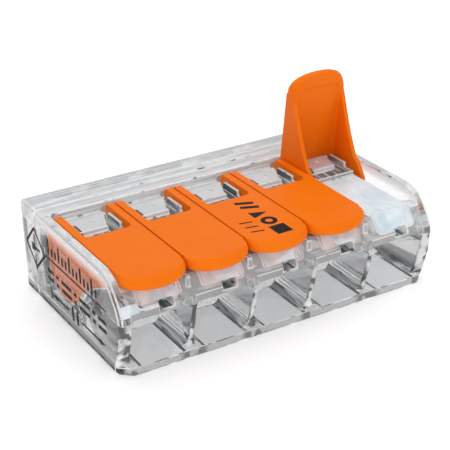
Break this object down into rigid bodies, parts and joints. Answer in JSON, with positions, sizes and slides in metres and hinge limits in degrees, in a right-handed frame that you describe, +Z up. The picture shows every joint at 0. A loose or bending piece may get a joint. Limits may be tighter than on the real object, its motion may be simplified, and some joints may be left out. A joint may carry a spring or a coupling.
{
  "type": "lever wire connector",
  "caption": "Clear-bodied wire connector with a row of hinged levers; each lever lifts a leaf-spring clamp that presses one wire onto a shared busbar.",
  "frame": {"origin": "middle of the whole part's footprint, on the flat underside of the housing", "axes": "+X along the row of poles towards the lever that stands open, +Y from the wire entries to the rear cover, +Z up"},
  "size_m": [0.0298, 0.0186, 0.0165],
  "materials": {
    "clear_plastic": "clear moulded polycarbonate, polished with fine tool marks",
    "lever_plastic": "satin moulded orange plastic",
    "spring_steel": "rolled stainless spring strip",
    "tinned_copper": "satin tin plate over copper"
  },
  "bodies": {
    "body": {"housing": "clear_plastic", "rear_cover": "clear_plastic", "busbar": "tinned_copper", "spring_base_1": "spring_steel", "spring_base_2": "spring_steel", "spring_base_3": "spring_steel", "spring_base_4": "spring_steel", "spring_base_5": "spring_steel"},
    "lever_1": {"lever_1": "lever_plastic"},
    "lever_2": {"lever_2": "lever_plastic"},
    "lever_3": {"lever_3": "lever_plastic"},
    "lever_4": {"lever_4": "lever_plastic"},
    "lever_5": {"lever_5": "lever_plastic"},
    "clamp_1": {"clamp_leg_1": "spring_steel"},
    "clamp_2": {"clamp_leg_2": "spring_steel"},
    "clamp_3": {"clamp_leg_3": "spring_steel"},
    "clamp_4": {"clamp_leg_4": "spring_steel"},
    "clamp_5": {"clamp_leg_5": "spring_steel"}
  },
  "joints": [
    {"name": "lever_1_hinge", "type": "hinge", "parent": "body", "child": "lever_1", "pos_m": [-0.0112, 0.00191, 0.005], "axis": [-1, 0, 0], "range_deg": [0, 81]},
    {"name": "lever_2_hinge", "type": "hinge", "parent": "body", "child": "lever_2", "pos_m": [-0.0056, 0.00191, 0.005], "axis": [-1, 0, 0], "range_deg": [0, 81]},
    {"name": "lever_3_hinge", "type": "hinge", "parent": "body", "child": "lever_3", "pos_m": [0, 0.00191, 0.005], "axis": [-1, 0, 0], "range_deg": [0, 81]},
    {"name": "lever_4_hinge", "type": "hinge", "parent": "body", "child": "lever_4", "pos_m": [0.0056, 0.00191, 0.005], "axis": [-1, 0, 0], "range_deg": [0, 81]},
    {"name": "lever_5_hinge", "type": "hinge", "parent": "body", "child": "lever_5", "pos_m": [0.0112, 0.00191, 0.005], "axis": [-1, 0, 0], "range_deg": [-81, 0]},
    {"name": "clamp_1_flex", "type": "hinge", "parent": "body", "child": "clamp_1", "pos_m": [-0.0112, -0.00029, 0.0059], "axis": [1, 0, 0], "range_deg": [0, 24.3]},
    {"name": "clamp_2_flex", "type": "hinge", "parent": "body", "child": "clamp_2", "pos_m": [-0.0056, -0.00029, 0.0059], "axis": [1, 0, 0], "range_deg": [0, 24.3]},
    {"name": "clamp_3_flex", "type": "hinge", "parent": "body", "child": "clamp_3", "pos_m": [0, -0.00029, 0.0059], "axis": [1, 0, 0], "range_deg": [0, 24.3]},
    {"name": "clamp_4_flex", "type": "hinge", "parent": "body", "child": "clamp_4", "pos_m": [0.0056, -0.00029, 0.0059], "axis": [1, 0, 0], "range_deg": [0, 24.3]},
    {"name": "clamp_5_flex", "type": "hinge", "parent": "body", "child": "clamp_5", "pos_m": [0.0112, -0.00029, 0.0059], "axis": [1, 0, 0], "range_deg": [-24.3, 0]}
  ],
  "couplings": [
    {"joint": "clamp_1_flex", "follows": "lever_1_hinge", "ratio": 0.3},
    {"joint": "clamp_2_flex", "follows": "lever_2_hinge", "ratio": 0.3},
    {"joint": "clamp_3_flex", "follows": "lever_3_hinge", "ratio": 0.3},
    {"joint": "clamp_4_flex", "follows": "lever_4_hinge", "ratio": 0.3},
    {"joint": "clamp_5_flex", "follows": "lever_5_hinge", "ratio": 0.3}
  ]
}
